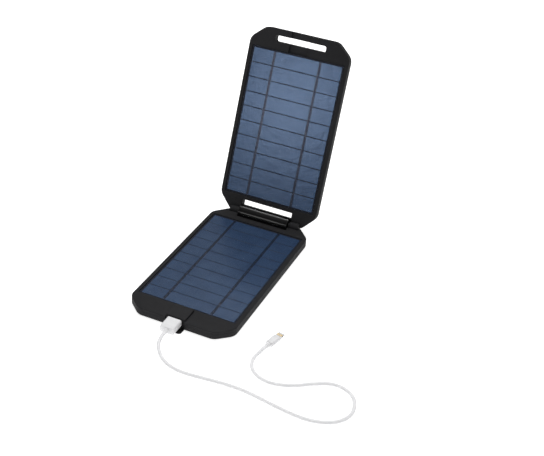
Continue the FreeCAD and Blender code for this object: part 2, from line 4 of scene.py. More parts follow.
import bmesh
import bpy
from mathutils import Matrix, Vector
from mathutils.geometry import tessellate_polygon


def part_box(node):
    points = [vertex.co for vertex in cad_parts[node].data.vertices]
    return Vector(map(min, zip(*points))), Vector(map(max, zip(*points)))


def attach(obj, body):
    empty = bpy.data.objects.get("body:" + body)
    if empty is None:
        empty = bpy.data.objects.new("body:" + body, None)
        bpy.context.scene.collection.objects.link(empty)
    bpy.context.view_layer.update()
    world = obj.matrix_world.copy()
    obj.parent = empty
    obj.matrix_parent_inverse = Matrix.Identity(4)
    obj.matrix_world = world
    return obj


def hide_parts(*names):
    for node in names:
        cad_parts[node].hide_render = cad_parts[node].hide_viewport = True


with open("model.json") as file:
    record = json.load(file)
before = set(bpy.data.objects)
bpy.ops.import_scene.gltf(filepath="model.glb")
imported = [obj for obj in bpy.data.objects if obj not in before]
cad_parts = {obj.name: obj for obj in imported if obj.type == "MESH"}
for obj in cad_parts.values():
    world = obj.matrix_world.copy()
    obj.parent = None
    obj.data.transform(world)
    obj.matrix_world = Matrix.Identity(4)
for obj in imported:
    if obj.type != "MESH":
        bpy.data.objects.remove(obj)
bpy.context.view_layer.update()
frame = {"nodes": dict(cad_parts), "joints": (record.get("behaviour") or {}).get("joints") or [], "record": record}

# Looks of a folding solar phone charger.  A half is drawn in its own frame, in millimetres:
# x across it, y from the hinge line to the far end, z from the outer back up to the cell face.
MM = 0.001
HINGE = next(joint for joint in frame["joints"] if joint["name"] == "lid_hinge")
AXIS = Vector(HINGE["pos_m"])
AXIS_HEIGHT = AXIS.z / MM
LID_LEAN = math.pi + math.radians(HINGE["range_deg"][0])

HALF_WIDTH, HALF_LENGTH, HALF_HEIGHT = 54.0, 192.0, 8.85
SPLIT, END_GAP, FLOOR = 5.85, 0.3, 1.8
HINGE_CORNER, FAR_CORNER, CORNER_RADIUS = (41.0, 47.5), (38.6, 41.2), 11.0
BACK_RADIUS, FACE_RADIUS, PARTING_RADIUS, HOLE_RADIUS = 1.7, 0.6, 0.25, 0.3
NOTCH_HALF, NOTCH_DEPTH, NOTCH_WALL = 28.0, {"base": 9.6, "lid": 13.0}, 3.0
SIDE_WALL, SOCKET_WALL, INNER_HALF, SHOULDER = 3.4, 2.0, 34.0, 6.0
ARM_START, ARM_END, ARM_RADIUS, ARM_CLEAR, ARM_LOW = 28.3, 39.0, 4.2, 0.3, 3.2
WINDOW_HALF, WINDOW_START, WINDOW_END, LEDGE, LEDGE_TOP = 50.0, 16.8, 171.2, 3.0, 6.6
CELL_HALF, CELL_START, CELL_PITCH, CELL_GAP, CELL_ROWS = 47.8, 18.5, 15.1, 0.8, 10
BOARD_TOP, CELL_TOP, RIBBON_TOP, RIBBON_X, RIBBON_WIDTH = 7.8, 8.05, 8.15, 24.7, 2.8
SLOT_HALF, SLOT_START, SLOT_END, SLOT_RADIUS = 27.5, 179.3, 185.5, 2.0
POCKET_LEFT, POCKET_RIGHT, POCKET_FLOOR = -10.9, 10.1, 6.45
HOUSING_LEFT, HOUSING_RIGHT, HOUSING_START, HOUSING_TOP = -9.5, 10.3, 172.5, 10.9
MOUTH, USB_X, USB_Z, SOCKET_WIDTH, SOCKET_HEIGHT, SOCKET_LENGTH = 190.2, 1.0, 6.0, 13.2, 5.8, 14.0
SCREWS = [(side * x, y) for x, y in ((38.0, 9.0), (41.0, 179.0)) for side in (1, -1)]
HEAD_RADIUS, RECESS_RADIUS, HEAD_LOW, HEAD_TOP, SHANK_RADIUS = 2.0, 2.2, 0.3, 1.5, 0.9
BARREL_RADIUS, BARREL_HALF, PIN_BORE = 8.0, 27.7, 1.55
GROOVE = [(2.2, 0.0), (2.35, 0.22), (2.65, 0.22), (2.8, 0.0)]  # (distance from an end, depth)
ROLL_RADIUS, PAD_HEIGHT = 0.65, 0.3
PHONE_GRIP, PHONE_RELIEF = (7.8, 5.0, 12.4), 4.0
USB_ROOT, PHONE_ROOT, SLEEVE_TIP = 2.7, 2.3, 1.95

CORD_DIAMETER = 0.0035
CORD_ROUTE = [
    (-1.0, -113.0, 6.0), (-1.0, -123.5, 6.0), (5.0, -135.0, 3.4), (17.5, -145.0, 2.0),
    (34.0, -148.5, 1.8), (54.0, -146.5, 1.8), (74.0, -144.0, 1.8), (94.5, -144.0, 1.8),
    (114.5, -147.5, 1.8), (134.0, -150.5, 1.8), (154.0, -152.0, 1.8),
    (174.0, -145.5, 1.8), (185.0, -129.0, 1.8), (178.5, -107.0, 1.8),
    (159.0, -99.0, 1.8), (140.5, -108.5, 1.8), (125.5, -120.5, 1.8),
    (104.5, -126.5, 1.8), (88.0, -119.0, 1.8), (81.5, -106.5, 2.1),
    (82.5, -94.5, 2.5), (85.0, -83.5, 2.5),
]


# ---------------------------------------------------------------- camera

CAMERA_AZIMUTH, CAMERA_ELEVATION, CAMERA_ROLL = 22.41, 33.36, 3.81
CAMERA_DISTANCE, CAMERA_LENS = 1.10, 70.0
CAMERA_TARGET = Vector((0.0089, 0.0961, -0.0005))


def make_camera():
    """Camera on the front right, above the charger, turned a little about its own axis."""
    azimuth = math.radians(CAMERA_AZIMUTH)
    elevation = math.radians(CAMERA_ELEVATION)
    back = Vector((math.sin(azimuth) * math.cos(elevation),
                   -math.cos(azimuth) * math.cos(elevation), math.sin(elevation)))
    right = Vector((math.cos(azimuth), math.sin(azimuth), 0))
    turn = Matrix((right, back.cross(right), back)).transposed().to_4x4()
    roll = Matrix.Rotation(math.radians(CAMERA_ROLL), 4, "Z")
    data = bpy.data.cameras.new("camera")
    data.lens = CAMERA_LENS
    data.sensor_width = 36.0
    camera = bpy.data.objects.new("camera", data)
    camera.matrix_world = Matrix.Translation(CAMERA_TARGET + back * CAMERA_DISTANCE) @ turn @ roll
    bpy.context.scene.collection.objects.link(camera)
    bpy.context.scene.camera = camera


# ---------------------------------------------------------------- materials

class Finish:
    """Principled material built step by step; every texture is in metres on the piece."""

    def __init__(self, name, colour, roughness, **sockets):
        self.material = bpy.data.materials.new(name)
        self.material.use_nodes = True
        self.shader = self.material.node_tree.nodes["Principled BSDF"]
        self.shader.inputs["Base Color"].default_value = (*colour, 1.0)
        self.shader.inputs["Roughness"].default_value = roughness
        for key, value in sockets.items():
            self.shader.inputs[key.replace("_", " ")].default_value = value
        self.place = self.add("ShaderNodeTexCoord").outputs["Object"]

    def add(self, kind, **values):
        """Node with its properties and inputs set; an output given as a value is linked."""
        item = self.material.node_tree.nodes.new(kind)
        for key, value in values.items():
            if isinstance(value, bpy.types.NodeSocket):
                self.join(value, item.inputs[key.replace("_", " ")])
            elif key in item.bl_rna.properties:
                setattr(item, key, value)
            else:
                item.inputs[key.replace("_", " ")].default_value = value
        return item

    def join(self, output, target):
        self.material.node_tree.links.new(output, target)

    def noise(self, size, detail=3.0):
        """Noise whose blobs are about a size in metres."""
        texture = self.add("ShaderNodeTexNoise", Vector=self.place, Scale=1.0 / size, Detail=detail)
        return texture.outputs["Fac"]

    def drift(self, size, dark, light):
        """Base colour that wanders between two colours."""
        ramp = self.add("ShaderNodeValToRGB", Fac=self.noise(size))
        for stop, place, colour in zip(ramp.color_ramp.elements, (0.35, 0.65), (dark, light)):
            stop.position = place
            stop.color = (*colour, 1.0)
        self.join(ramp.outputs["Color"], self.shader.inputs["Base Color"])
        return ramp.outputs["Color"]

    def patchy(self, size, low, high):
        """Roughness that wanders between two values."""
        spread = self.add("ShaderNodeMapRange", Value=self.noise(size))
        spread.inputs["To Min"].default_value = low
        spread.inputs["To Max"].default_value = high
        self.join(spread.outputs["Result"], self.shader.inputs["Roughness"])

    def bumps(self, *layers):
        """Stacked bump of (blob size, depth) layers, in metres."""
        last = None
        for size, depth in layers:
            bump = self.add("ShaderNodeBump", Height=self.noise(size), Distance=depth)
            if last:
                self.join(last, bump.inputs["Normal"])
            last = bump.outputs["Normal"]
        self.join(last, self.shader.inputs["Normal"])

    def stripes(self, axis, pitch, width):
        """1 on thin lines across an axis, 0 between them."""
        split = self.add("ShaderNodeSeparateXYZ", Vector=self.place)
        count = self.add("ShaderNodeMath", operation="DIVIDE")
        count.inputs[1].default_value = pitch
        self.join(split.outputs[axis], count.inputs[0])
        part = self.add("ShaderNodeMath", operation="FRACT")
        self.join(count.outputs[0], part.inputs[0])
        line = self.add("ShaderNodeMath", operation="LESS_THAN")
        line.inputs[1].default_value = width / pitch
        self.join(part.outputs[0], line.inputs[0])
        return line.outputs[0]

    def mix_in(self, amount, base, other):
        """Base colour mixed with another colour by a 0 to 1 output."""
        mix = self.add("ShaderNodeMix", data_type="RGBA")
        self.join(amount, mix.inputs[0])
        self.join(base, mix.inputs[6])
        mix.inputs[7].default_value = (*other, 1.0)
        self.join(mix.outputs[2], self.shader.inputs["Base Color"])
        return mix.outputs[2]


def case_plastic():
    """Black moulded plastic with a fine spark-eroded texture."""
    finish = Finish("case_plastic", (0.011, 0.011, 0.012), 0.68, Specular_IOR_Level=0.17)
    finish.drift(0.03, (0.012, 0.012, 0.0132), (0.016, 0.016, 0.0175))
    finish.patchy(0.008, 0.62, 0.74)
    finish.bumps((0.0006, 0.00004), (0.00022, 0.00002))
    return finish.material


def hinge_plastic():
    """Smooth black plastic of the hinge barrel."""
    finish = Finish("hinge_plastic", (0.003, 0.003, 0.003), 0.2, Specular_IOR_Level=0.15)
    finish.patchy(0.006, 0.15, 0.25)
    finish.bumps((0.004, 0.00001))
    return finish.material


def panel_backing():
    """Near-black blue board that shows round and between the cells."""
    finish = Finish("panel_backing", (0.006, 0.008, 0.013), 0.5, Specular_IOR_Level=0.08)
    finish.drift(0.006, (0.005, 0.006, 0.011), (0.008, 0.010, 0.018))
    finish.patchy(0.004, 0.45, 0.55)
    return finish.material


def solar_cell():
    """Blue silicon with printed finger lines, crystal flakes and a slightly wavy laminate."""
    finish = Finish("solar_cell", (0.03, 0.05, 0.1), 0.25, Specular_IOR_Level=0.8,
                    Specular_Tint=(0.44, 0.61, 0.92, 1.0))
    blue = finish.drift(0.02, (0.009, 0.025, 0.065), (0.015, 0.036, 0.083))
    flakes = finish.add("ShaderNodeTexVoronoi", Vector=finish.place, Scale=260.0)
    shade = finish.add("ShaderNodeMath", operation="MULTIPLY")
    finish.join(flakes.outputs["Color"], shade.inputs[0])
    shade.inputs[1].default_value = 0.35
    flaked = finish.mix_in(shade.outputs[0], blue, (0.015, 0.040, 0.097))
    finish.mix_in(finish.stripes("Y", 0.00165, 0.00010), flaked, (0.045, 0.080, 0.145))
    finish.bumps((0.009, 0.00016), (0.0022, 0.00006))
    return finish.material


def cell_ribbon():
    """Darkened ribbon soldered along the cells."""
    finish = Finish("cell_ribbon", (0.006, 0.012, 0.028), 0.27, Specular_IOR_Level=0.35,
                    Specular_Tint=(0.75, 0.80, 1.0, 1.0))
    finish.drift(0.003, (0.004, 0.010, 0.024), (0.008, 0.014, 0.032))
    finish.bumps((0.0012, 0.00003))
    return finish.material


def cover_film():
    """Clear film over the cells."""
    finish = Finish("cover_film", (0.20, 0.24, 0.32), 0.25, Alpha=0.02)
    finish.bumps((0.007, 0.0001))
    return finish.material


def white_plastic(name, shade, roughness, grain):
    """White moulding of the lead."""
    finish = Finish(name, (shade, shade, shade + 0.01), roughness)
    finish.drift(0.004, (shade - 0.02, shade - 0.02, shade - 0.01),
                 (shade + 0.02, shade + 0.02, shade + 0.03))
    finish.bumps((grain, grain * 0.02))
    return finish.material


def rubber(name, colour, roughness):
    """Black rubber with a faint skin."""
    finish = Finish(name, colour, roughness, Specular_IOR_Level=0.15)
    finish.patchy(0.002, roughness - 0.06, roughness + 0.08)
    finish.bumps((0.0005, 0.00002))
    return finish.material


def metal(name, colour, roughness):
    """Plated metal with a faint tarnish."""
    finish = Finish(name, colour, roughness, Metallic=1.0)
    finish.drift(0.002, tuple(c * 0.88 for c in colour), colour)
    finish.patchy(0.001, roughness * 0.8, roughness * 1.3)
    finish.bumps((0.0002, 0.000004))
    return finish.material


def moulded(name, colour, roughness):
    """Small moulded or printed inner part."""
    finish = Finish(name, colour, roughness)
    finish.drift(0.002, tuple(c * 0.85 for c in colour), tuple(min(1.0, c * 1.15) for c in colour))
    finish.bumps((0.0003, 0.00001))
    return finish.material


MATERIALS = {
    "case_plastic": case_plastic(),
    "hinge_plastic": hinge_plastic(),
    "panel_backing": panel_backing(),
    "solar_cell": solar_cell(),
    "cell_ribbon": cell_ribbon(),
    "cover_film": cover_film(),
    "lead_plastic": white_plastic("lead_plastic", 0.80, 0.30, 0.0006),
    "lead_jacket": white_plastic("lead_jacket", 0.86, 0.40, 0.0003),
    "seal_rubber": rubber("seal_rubber", (0.020, 0.020, 0.020), 0.6),
    "cover_rubber": rubber("cover_rubber", (0.006, 0.006, 0.006), 0.45),
    "steel": metal("steel", (0.30, 0.30, 0.31), 0.35),
    "magnet": metal("magnet", (0.60, 0.60, 0.60), 0.25),
    "socket_metal": metal("socket_metal", (0.62, 0.62, 0.63), 0.28),
    "contact_gold": metal("contact_gold", (0.80, 0.58, 0.25), 0.25),
    "can_metal": metal("can_metal", (0.72, 0.72, 0.72), 0.35),
    "wire_sheath": moulded("wire_sheath", (0.25, 0.02, 0.02), 0.4),
    "tongue_plastic": moulded("tongue_plastic", (0.02, 0.02, 0.02), 0.5),
    "circuit_board": moulded("circuit_board", (0.02, 0.13, 0.06), 0.35),
    "coil_ferrite": moulded("coil_ferrite", (0.05, 0.05, 0.055), 0.6),
    "chip_plastic": moulded("chip_plastic", (0.02, 0.02, 0.022), 0.5),
}


# ---------------------------------------------------------------- mesh tools

def rounded(corners, step=9.0):
    """Loop of 2-D points from (x, y, radius) corners; arcs are cut every few degrees."""
    points = []
    for i, (x, y, radius) in enumerate(corners):
        corner = Vector((x, y))
        if radius == 0:
            points.append(corner)
            continue
        back = (Vector(corners[i - 1][:2]) - corner).normalized()
        ahead = (Vector(corners[(i + 1) % len(corners)][:2]) - corner).normalized()
        half_opening = back.angle(ahead) / 2
        turn = math.pi - 2 * half_opening
        side = 1 if back.cross(ahead) < 0 else -1
        centre = corner + (back + ahead).normalized() * (radius / math.sin(half_opening))
        first = corner + back * (radius / math.tan(half_opening)) - centre
        count = max(2, math.ceil(math.degrees(turn) / step))
        for k in range(count + 1):
            points.append(centre + Matrix.Rotation(side * turn * k / count, 2) @ first)
    return points


def rectangle(x0, x1, y0, y1, radius):
    """Rounded rectangle; its inside is on the left."""
    return rounded([(x0, y0, radius), (x1, y0, radius), (x1, y1, radius), (x0, y1, radius)])


def circle(x, y, radius, count=32):
    """Circle of points; its inside is on the left."""
    return [Vector((x, y)) + Matrix.Rotation(math.tau * k / count, 2) @ Vector((radius, 0))
            for k in range(count)]


def hole(loop):
    """The same loop the other way round, so that the solid is outside it."""
    return loop[::-1]


def inset_loop(loop, distance):
    """Loop moved into the solid on its left, with mitred corners."""
    moved = []
    for i, point in enumerate(loop):
        before = (point - loop[i - 1]).normalized()
        after = (loop[(i + 1) % len(loop)] - point).normalized()
        left = Vector((-before.y - after.y, before.x + after.x))
        moved.append(point + left * (distance / (1 + before.dot(after))))
    return moved


def edge_rounding(low, high, low_radius, high_radius, steps=4):
    """(z, inset) levels of a wall with rounded bottom and top edges; radius 0 is a sharp edge."""
    turns = [math.pi / 2 * k / steps for k in range(steps + 1)]
    bottom, top = [(low, 0.0)], [(high, 0.0)]
    if low_radius:
        bottom = [(low + low_radius * (1 - math.cos(a)), low_radius * (1 - math.sin(a)))
                  for a in turns]
    if high_radius:
        top = [(high - high_radius * (1 - math.sin(a)), high_radius * (1 - math.cos(a)))
               for a in turns]
    return bottom + top


def stack(loop, levels):
    """Loop repeated at every level, as (z, loop) pairs."""
    return [(z, inset_loop(loop, inset)) for z, inset in levels]


def add_ring(mesh, loop, z):
    return [mesh.verts.new((point.x, point.y, z)) for point in loop]


def add_wall(mesh, low, high):
    for i in range(len(low)):
        j = (i + 1) % len(low)
        mesh.faces.new((low[i], low[j], high[j], high[i]))


def add_cap(mesh, rings, up):
    """Flat face between an outer ring and the rings of its holes."""
    vertices = [vertex for ring in rings for vertex in ring]
    flat = [[Vector((vertex.co.x, vertex.co.y, 0)) for vertex in ring] for ring in rings]
    for triangle in tessellate_polygon(flat):
        a, b, c = (vertices[i] for i in triangle)
        faces_up = (b.co - a.co).cross(c.co - a.co).z > 0
        mesh.faces.new((a, b, c) if faces_up == up else (a, c, b))


def add_solid(mesh, stacks, top_pockets=(), bottom_pockets=()):
    """Closed solid from stacks of (z, loop), outer one first, then holes.

    A pocket is a (hole loop, floor z) pair, sunk into the top or the bottom face."""
    ends = ([], [])
    for levels in stacks:
        rings = [add_ring(mesh, loop, z) for z, loop in levels]
        for low, high in zip(rings, rings[1:]):
            add_wall(mesh, low, high)
        ends[0].append(rings[0])
        ends[1].append(rings[-1])
    for rings, pockets, up in ((ends[0], bottom_pockets, False), (ends[1], top_pockets, True)):
        for loop, floor_z in pockets:
            rim = add_ring(mesh, loop, rings[0][0].co.z)
            floor = add_ring(mesh, loop, floor_z)
            add_wall(mesh, *((floor, rim) if up else (rim, floor)))
            add_cap(mesh, [floor], up)
            rings.append(rim)
        add_cap(mesh, rings, up)


def add_lathe(mesh, profile, centre, count=64):
    """Closed solid of revolution about x, from (x, radius) points with x rising."""
    rings = []
    for x, radius in profile:
        ring = []
        for k in range(count):
            angle = math.tau * k / count
            offset = Vector((x, radius * math.cos(angle), radius * math.sin(angle)))
            ring.append(mesh.verts.new(centre + offset))
        rings.append(ring)
    for low, high in zip(rings, rings[1:]):
        add_wall(mesh, low, high)
    mesh.faces.new(rings[0][::-1])
    mesh.faces.new(rings[-1])


def rounded_rod(start, end, radius, edge, steps=4):
    """(x, radius) profile of a rod whose two ends are rounded."""
    turns = [math.pi / 2 * k / steps for k in range(steps + 1)]
    near = [(start + edge * (1 - math.sin(a)), radius - edge * (1 - math.cos(a))) for a in turns]
    far = [(end - edge * (1 - math.sin(a)), radius - edge * (1 - math.cos(a))) for a in turns]
    return near[::-1] + far


def to_object(name, mesh):
    """Object in millimetres at the origin, before it is put in its place."""
    data = bpy.data.meshes.new(name)
    mesh.to_mesh(data)
    mesh.free()
    obj = bpy.data.objects.new(name, data)
    bpy.context.scene.collection.objects.link(obj)
    return obj


def combine(obj, tool, operation):
    """Exact boolean with a tool object, which is then removed."""
    modifier = obj.modifiers.new("combine", "BOOLEAN")
    modifier.object = tool
    modifier.operation = operation
    modifier.solver = "EXACT"
    graph = bpy.context.evaluated_depsgraph_get()
    graph.update()
    data = bpy.data.meshes.new_from_object(obj.evaluated_get(graph))
    obj.modifiers.clear()
    obj.data = data
    bpy.data.objects.remove(tool)


def block(x0, x1, y0, y1, z0, z1):
    """Sharp-edged cutter."""
    mesh = bmesh.new()
    loop = rectangle(x0, x1, y0, y1, 0)
    add_solid(mesh, [[(z0, loop), (z1, loop)]])
    return to_object("cutter", mesh)


def rod(x0, x1, radius):
    """Round cutter about the hinge axis."""
    mesh = bmesh.new()
    add_lathe(mesh, [(x0, radius), (x1, radius)], Vector((0, 0, AXIS_HEIGHT)))
    return to_object("cutter", mesh)


def paint(obj, slot):
    """Give a piece or a CAD node the material of its slot."""
    obj.data.materials.clear()
    obj.data.materials.append(MATERIALS[slot])


def place(obj, matrix, slot, body, *nodes):
    """Scale a finished piece to metres, put it in place and let it stand for its CAD nodes."""
    obj.data.transform(Matrix.Scale(MM, 4))
    obj.matrix_world = matrix
    obj.data.shade_smooth()
    obj.data.set_sharp_from_angle(angle=math.radians(35))
    modifier = obj.modifiers.new("normals", "WEIGHTED_NORMAL")
    modifier.keep_sharp = True
    return declare(obj, slot, body, *nodes)


def declare(obj, slot, body, *nodes):
    """Paint a piece, let it ride and hide the CAD nodes that it stands for."""
    paint(obj, slot)
    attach(obj, body)
    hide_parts(*nodes)
    return obj


def half_matrix(half):
    """Place of a half's own frame."""
    if half == "base":
        return Matrix.Translation((0, AXIS.y, 0)) @ Matrix.Rotation(math.pi, 4, "Z")
    lean = Matrix.Rotation(LID_LEAN, 4, "X")
    return Matrix.Translation(AXIS) @ lean @ Matrix.Translation((0, 0, -AXIS.z))


# ---------------------------------------------------------------- halves

def outline(half):
    """Outline of a half with its cut corners and its hinge notch."""
    near_x, near_cut = HINGE_CORNER
    far_x, far_cut = FAR_CORNER
    low_y = (HALF_WIDTH - near_x) * math.tan(math.radians(near_cut))
    high_y = HALF_LENGTH - (HALF_WIDTH - far_x) * math.tan(math.radians(far_cut))
    right = [(NOTCH_HALF, NOTCH_DEPTH[half], 0.8), (NOTCH_HALF, END_GAP, 2.0),
             (near_x, END_GAP, 2.0), (HALF_WIDTH, low_y, CORNER_RADIUS),
             (HALF_WIDTH, high_y, CORNER_RADIUS), (far_x, HALF_LENGTH, CORNER_RADIUS)]
    left = [(-x, y, radius) for x, y, radius in reversed(right)]
    return rounded(right + left)


def slot_loop():
    return hole(rectangle(-SLOT_HALF, SLOT_HALF, SLOT_START, SLOT_END, SLOT_RADIUS))


def cavity_loop(half):
    """Inside of the tray, clear of the hinge block and the strap slot or round the socket."""
    near = NOTCH_DEPTH[half] + NOTCH_WALL
    side = HALF_WIDTH - SIDE_WALL
    right = [(INNER_HALF, near, 1.0), (side, near + SHOULDER, 3.0), (side, WINDOW_END, 2.0)]
    if half == "base":
        right += [(INNER_HALF, WINDOW_END + 1.5, 1.0), (INNER_HALF, MOUTH - SOCKET_WALL, 1.0)]
    return hole(rounded(right + [(-x, y, radius) for x, y, radius in reversed(right)]))


def cut_for_arms(obj, half):
    """Room for the knuckles of the lid's two hinge arms."""
    for start, end in ((NOTCH_HALF, ARM_END + ARM_CLEAR), (-ARM_END - ARM_CLEAR, -NOTCH_HALF)):
        if half == "base":
            cutter = rod(start, end, ARM_RADIUS + ARM_CLEAR)
        else:
            cutter = block(start, end, -2, ARM_RADIUS + 1, ARM_LOW, 2 * HALF_HEIGHT)
        combine(obj, cutter, "DIFFERENCE")


def cut_mouth(obj):
    """Notch in front of the socket and the opening that the socket looks out of."""
    combine(obj, block(HOUSING_LEFT, HOUSING_RIGHT, MOUTH, HALF_LENGTH + 2,
                       -1, HOUSING_TOP + 2), "DIFFERENCE")
    reach, tall = SOCKET_WIDTH / 2 + 0.15, SOCKET_HEIGHT / 2 + 0.15
    combine(obj, block(USB_X - reach, USB_X + reach, MOUTH - SOCKET_LENGTH - 0.5, HALF_LENGTH + 3,
                       USB_Z - tall, USB_Z + tall), "DIFFERENCE")


def make_shell(half):
    """Tray of a half with its rounded back, cavity and screw recesses."""
    mesh = bmesh.new()
    stacks = [stack(outline(half), edge_rounding(0, SPLIT, BACK_RADIUS, PARTING_RADIUS, 6))]
    if half == "lid":
        stacks.append(stack(slot_loop(), edge_rounding(0, SPLIT, HOLE_RADIUS, 0)))
    recesses = [(hole(circle(x, y, RECESS_RADIUS)), HEAD_TOP) for x, y in SCREWS]
    add_solid(mesh, stacks, [(cavity_loop(half), FLOOR)], recesses)
    shell = to_object(half + "_shell_skin", mesh)
    cut_for_arms(shell, half)
    if half == "base":
        cut_mouth(shell)
    place(shell, half_matrix(half), "case_plastic", half, half + "_shell")


def make_bezel(half):
    """Face frame of a half with its window and ledge."""
    mesh = bmesh.new()
    ledge = hole(rectangle(-WINDOW_HALF + LEDGE, WINDOW_HALF - LEDGE, WINDOW_START + LEDGE,
                           WINDOW_END - LEDGE, 0.6))
    window = hole(rectangle(-WINDOW_HALF, WINDOW_HALF, WINDOW_START, WINDOW_END, 0.6))
    stacks = [stack(outline(half), edge_rounding(SPLIT, HALF_HEIGHT, PARTING_RADIUS, FACE_RADIUS)),
              [(SPLIT, ledge), (LEDGE_TOP, ledge)]
              + stack(window, edge_rounding(LEDGE_TOP, HALF_HEIGHT, 0, HOLE_RADIUS))]
    if half == "lid":
        stacks.append(stack(slot_loop(), edge_rounding(SPLIT, HALF_HEIGHT, 0, HOLE_RADIUS)))
    add_solid(mesh, stacks)
    bezel = to_object(half + "_bezel_skin", mesh)
    cut_for_arms(bezel, half)
    if half == "base":
        add_housing(bezel)
        cut_mouth(bezel)
    else:
        combine(bezel, block(POCKET_LEFT, POCKET_RIGHT, WINDOW_END - 1, HALF_LENGTH + 2,
                             POCKET_FLOOR, 2 * HALF_HEIGHT), "DIFFERENCE")
    place(bezel, half_matrix(half), "case_plastic", half, half + "_bezel")


def add_housing(bezel):
    """Raised housing over the socket."""
    mesh = bmesh.new()
    loop = rectangle(HOUSING_LEFT, HOUSING_RIGHT, HOUSING_START, MOUTH, 0.8)
    add_solid(mesh, [stack(loop, edge_rounding(SPLIT + 0.4, HOUSING_TOP, 0, FACE_RADIUS))])
    combine(bezel, to_object("housing", mesh), "UNION")


def make_cells(half):
    """Cell strips with softened edges."""
    mesh = bmesh.new()
    for row in range(CELL_ROWS):
        low = CELL_START + row * CELL_PITCH + CELL_GAP / 2
        loop = rectangle(-CELL_HALF, CELL_HALF, low, low + CELL_PITCH - CELL_GAP, 0.5)
        add_solid(mesh, [stack(loop, edge_rounding(BOARD_TOP, CELL_TOP, 0, 0.08, 2))])
    place(to_object(half + "_cell_strips", mesh), half_matrix(half), "solar_cell", half,
          half + "_cells")


def make_ribbons(half):
    """Two thin ribbons along the cells."""
    mesh = bmesh.new()
    for x in (-RIBBON_X, RIBBON_X):
        loop = rectangle(x - RIBBON_WIDTH / 2, x + RIBBON_WIDTH / 2, CELL_START + 0.6,
                         CELL_START + CELL_ROWS * CELL_PITCH - 0.6, 0.3)
        add_solid(mesh, [stack(loop, edge_rounding(CELL_TOP - 0.02, RIBBON_TOP, 0, 0.05, 2))])
    place(to_object(half + "_ribbon_strips", mesh), half_matrix(half), "cell_ribbon", half,
          half + "_ribbons")


def make_screws(half):
    """Domed screw heads with a cross recess, sunk in the back of the shell."""
    mesh = bmesh.new()
    for x, y in SCREWS:
        cross = []
        for k in range(4):
            turn = Matrix.Rotation(math.pi / 2 * k, 2)
            cross += [Vector((x, y)) + turn @ Vector(point)
                      for point in ((1.15, -0.24), (1.15, 0.24), (0.38, 0.38))]
        add_solid(mesh, [stack(circle(x, y, HEAD_RADIUS), edge_rounding(HEAD_LOW, HEAD_TOP, 0.5, 0))],
                  bottom_pockets=[(hole(cross), HEAD_LOW + 0.6)])
        shank = circle(x, y, SHANK_RADIUS, 16)
        add_solid(mesh, [[(HEAD_TOP + 0.01, shank), (SPLIT + 1.7, shank)]])
    place(to_object(half + "_screw_set", mesh), half_matrix(half), "steel", half, half + "_screws")


# ---------------------------------------------------------------- hinge

def make_barrel():
    """Barrel with a shallow groove near each end, on its saddle."""
    centre = Vector((0, 0, AXIS_HEIGHT))
    profile = rounded_rod(-BARREL_HALF, BARREL_HALF, BARREL_RADIUS, 0.5)
    near = [(-BARREL_HALF + x, BARREL_RADIUS - depth) for x, depth in GROOVE]
    far = [(-x, radius) for x, radius in reversed(near)]
    middle = len(profile) // 2
    mesh = bmesh.new()
    add_lathe(mesh, profile[:middle] + near + far + profile[middle:], centre, 96)
    barrel = to_object("hinge_barrel_skin", mesh)
    saddle = bmesh.new()
    loop = rectangle(-BARREL_HALF + 0.1, BARREL_HALF - 0.1, 1.0, NOTCH_DEPTH["base"] - 0.02, 0.6)
    add_solid(saddle, [stack(loop, edge_rounding(1.2, HALF_HEIGHT - 0.7, 0.3, 0.3))])
    combine(barrel, to_object("saddle", saddle), "UNION")
    combine(barrel, rod(-BARREL_HALF - 1, BARREL_HALF + 1, PIN_BORE), "DIFFERENCE")
    place(barrel, half_matrix("base"), "hinge_plastic", "base", "hinge_barrel")


def make_arms():
    """Knuckle and foot of each hinge arm of the lid."""
    for name, start in (("left", -ARM_END), ("right", ARM_START)):
        end = start + ARM_END - ARM_START
        mesh = bmesh.new()
        add_lathe(mesh, rounded_rod(start, end, ARM_RADIUS, 0.4), Vector((0, 0, AXIS_HEIGHT)))
        arm = to_object("hinge_knuckle_" + name, mesh)
        foot = bmesh.new()
        loop = rectangle(start + 0.15, end - 0.15, 0.4, ARM_RADIUS + 0.7, 0.5)
        add_solid(foot, [stack(loop, edge_rounding(ARM_LOW + 0.3, HALF_HEIGHT - 0.25, 0.2, 0.3))])
        combine(arm, to_object("foot", foot), "UNION")
        combine(arm, rod(start - 1 if name == "right" else start + 0.6, end - 0.6
                         if name == "right" else end + 1, PIN_BORE), "DIFFERENCE")
        place(arm, half_matrix("lid"), "case_plastic", "lid", "lid_hinge_arm_" + name)


# ---------------------------------------------------------------- socket cover and lead

def make_dust_cover():
    """Rubber flap with a roll along its hinge edge and a raised pad, folded out flat."""
    low, high = (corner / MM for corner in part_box("dust_cover"))
    root = high.y - ROLL_RADIUS
    mesh = bmesh.new()
    loop = rounded([(low.x, low.y, 3.0), (high.x, low.y, 3.0), (high.x, root, 0.6),
                    (low.x, root, 0.6)])
    add_solid(mesh, [stack(loop, edge_rounding(low.z, high.z, 0.3, 0.45))])
    flap = to_object("dust_flap", mesh)
    roll = bmesh.new()
    add_lathe(roll, rounded_rod(low.x + 0.05, high.x - 0.05, ROLL_RADIUS, 0.2),
              Vector((0, root, low.z + ROLL_RADIUS)), 32)
    combine(flap, to_object("roll", roll), "UNION")
    pad = bmesh.new()
    loop = rectangle(low.x + 2.6, high.x - 2.6, low.y + 1.6, root - 1.5, 1.0)
    add_solid(pad, [stack(loop, edge_rounding(high.z - 0.4, high.z + PAD_HEIGHT, 0, 0.15))])
    combine(flap, to_object("pad", pad), "UNION")
    place(flap, Matrix(), "cover_rubber", "dust_cover", "dust_cover")


